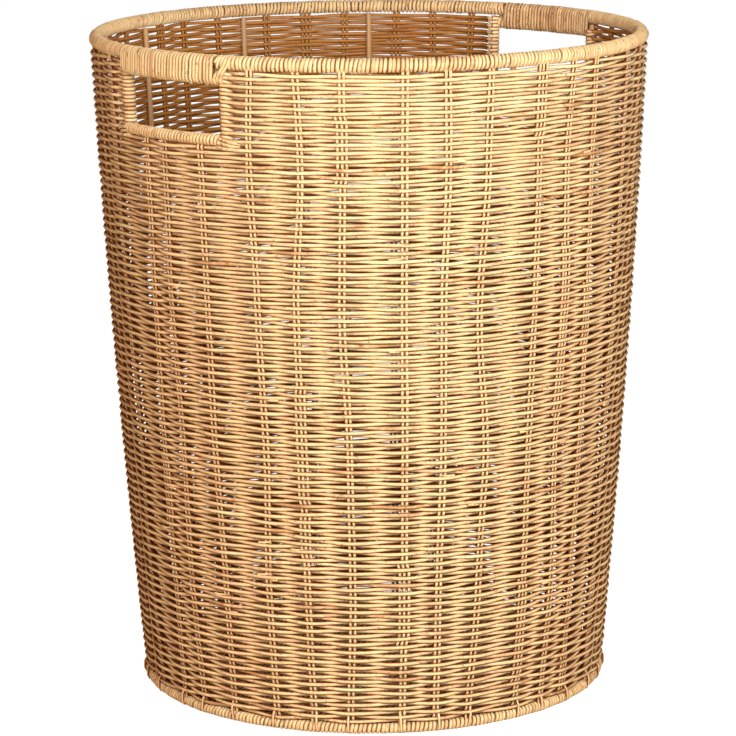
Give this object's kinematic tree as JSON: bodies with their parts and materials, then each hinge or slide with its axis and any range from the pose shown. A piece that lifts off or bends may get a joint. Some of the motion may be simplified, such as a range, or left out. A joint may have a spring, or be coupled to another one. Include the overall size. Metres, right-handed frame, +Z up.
{
  "type": "laundry basket",
  "caption": "Tall round tapered laundry basket of plain woven cane on a rod frame, with bound rim and base rings and a hand hole on each side.",
  "frame": {"origin": "centre of the base ring on the floor", "axes": "+Z up the axis of the basket; the two hand holes face along -X and +X"},
  "size_m": [0.4392, 0.4388, 0.522],
  "materials": {
    "hoop_rattan": "satin",
    "upright_rattan": "satin",
    "binding_cane": "satin",
    "wall_cane": "satin",
    "base_cane": "satin"
  },
  "bodies": {
    "root": {"rim_hoop": "hoop_rattan", "base_hoop": "hoop_rattan", "upright_01": "upright_rattan", "upright_02": "upright_rattan", "upright_03": "upright_rattan", "upright_04": "upright_rattan", "upright_05": "upright_rattan", "upright_06": "upright_rattan", "upright_07": "upright_rattan", "upright_08": "upright_rattan", "upright_09": "upright_rattan", "upright_10": "upright_rattan", "upright_11": "upright_rattan", "upright_12": "upright_rattan", "grip_bar_left": "hoop_rattan", "grip_bar_right": "hoop_rattan", "sill_bar_left": "hoop_rattan", "sill_bar_right": "hoop_rattan", "grip_binding_left": "binding_cane", "grip_binding_right": "binding_cane", "sill_binding_left": "binding_cane", "sill_binding_right": "binding_cane", "rim_binding_front": "binding_cane", "rim_binding_rear": "binding_cane", "base_binding": "binding_cane", "wall_weave": "wall_cane", "base_weave": "base_cane"}
  },
  "joints": []
}
